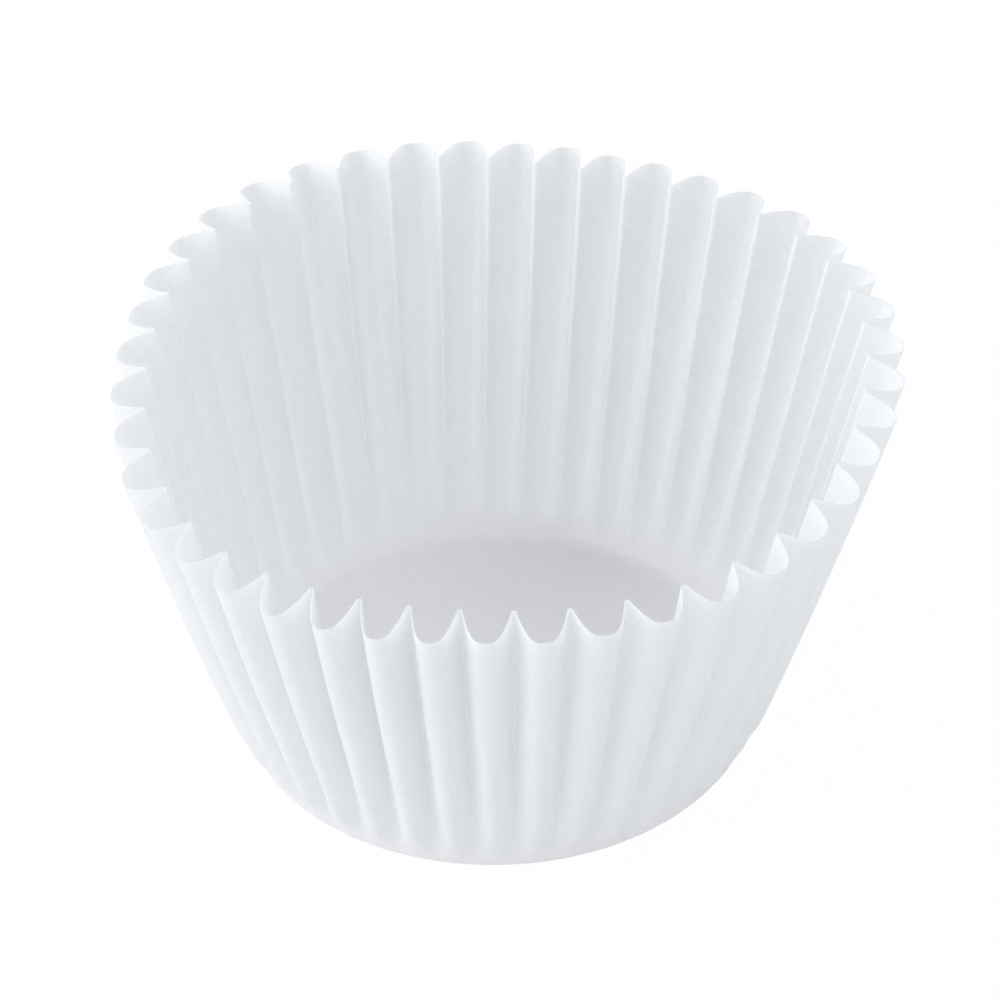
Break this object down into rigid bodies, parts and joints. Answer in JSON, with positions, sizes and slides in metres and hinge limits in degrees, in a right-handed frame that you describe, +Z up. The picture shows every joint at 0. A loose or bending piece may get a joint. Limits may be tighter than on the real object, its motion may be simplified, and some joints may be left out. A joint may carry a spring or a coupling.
{
  "type": "cupcake liner",
  "caption": "Fluted paper cupcake liner: a flat round base and a flared wall of rounded flutes with sharp inner creases, open at its scalloped rim.",
  "frame": {"origin": "centre of the underside of the flat base", "axes": "+Z up through the open rim; +X and +Y lie in the base, with +Y away from the picture's camera"},
  "size_m": [0.0776, 0.0787, 0.0417],
  "materials": {
    "paper": "matte greaseproof paper, slightly translucent"
  },
  "bodies": {
    "root": {"liner": "paper"}
  },
  "joints": []
}
